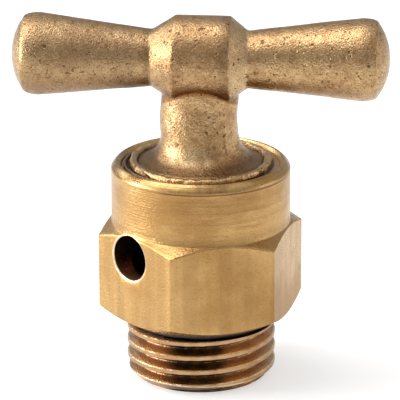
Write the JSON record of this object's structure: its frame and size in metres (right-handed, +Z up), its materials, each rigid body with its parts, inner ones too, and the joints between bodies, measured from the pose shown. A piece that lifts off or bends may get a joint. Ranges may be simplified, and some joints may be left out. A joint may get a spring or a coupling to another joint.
{
  "type": "drain cock",
  "caption": "Brass drain cock with a T-handle screw plug, a hexagon body, a male pipe thread below and a side drain port.",
  "frame": {"origin": "on the axis of the male thread, at the level of the sealing face under the hexagon", "axes": "+Z up along the axis, from the male thread to the handle; +X along the cross bar when the cock is closed"},
  "size_m": [0.033, 0.018, 0.0326],
  "materials": {
    "body_brass": "machined",
    "handle_brass": "as cast, shot-blasted",
    "disc_brass": "machined",
    "seat_rubber": "matte",
    "washer_steel": "plain",
    "screw_steel": "plain",
    "clip_steel": "spring steel",
    "plug_rubber": "matte",
    "ring_rubber": "matte"
  },
  "bodies": {
    "body": {"valve_body": "body_brass", "thread_seal_ring": "ring_rubber"},
    "seal_carrier": {"valve_disc": "disc_brass", "seat_seal": "seat_rubber", "seal_washer": "washer_steel", "seal_screw": "screw_steel", "disc_clip": "clip_steel"},
    "handle": {"t_handle": "handle_brass", "plug_o_ring": "plug_rubber"}
  },
  "joints": [
    {"name": "seal_lift", "type": "slide", "parent": "body", "child": "seal_carrier", "axis": [0, 0, 1], "range_m": [0, 0.001]},
    {"name": "handle_turn", "type": "hinge", "parent": "seal_carrier", "child": "handle", "pos_m": [0, 0, 0.0227], "axis": [0, 0, 1], "range_deg": [0, 360]}
  ],
  "couplings": [
    {"joint": "handle_turn", "follows": "seal_lift", "rad_per_m": 6283.2}
  ]
}
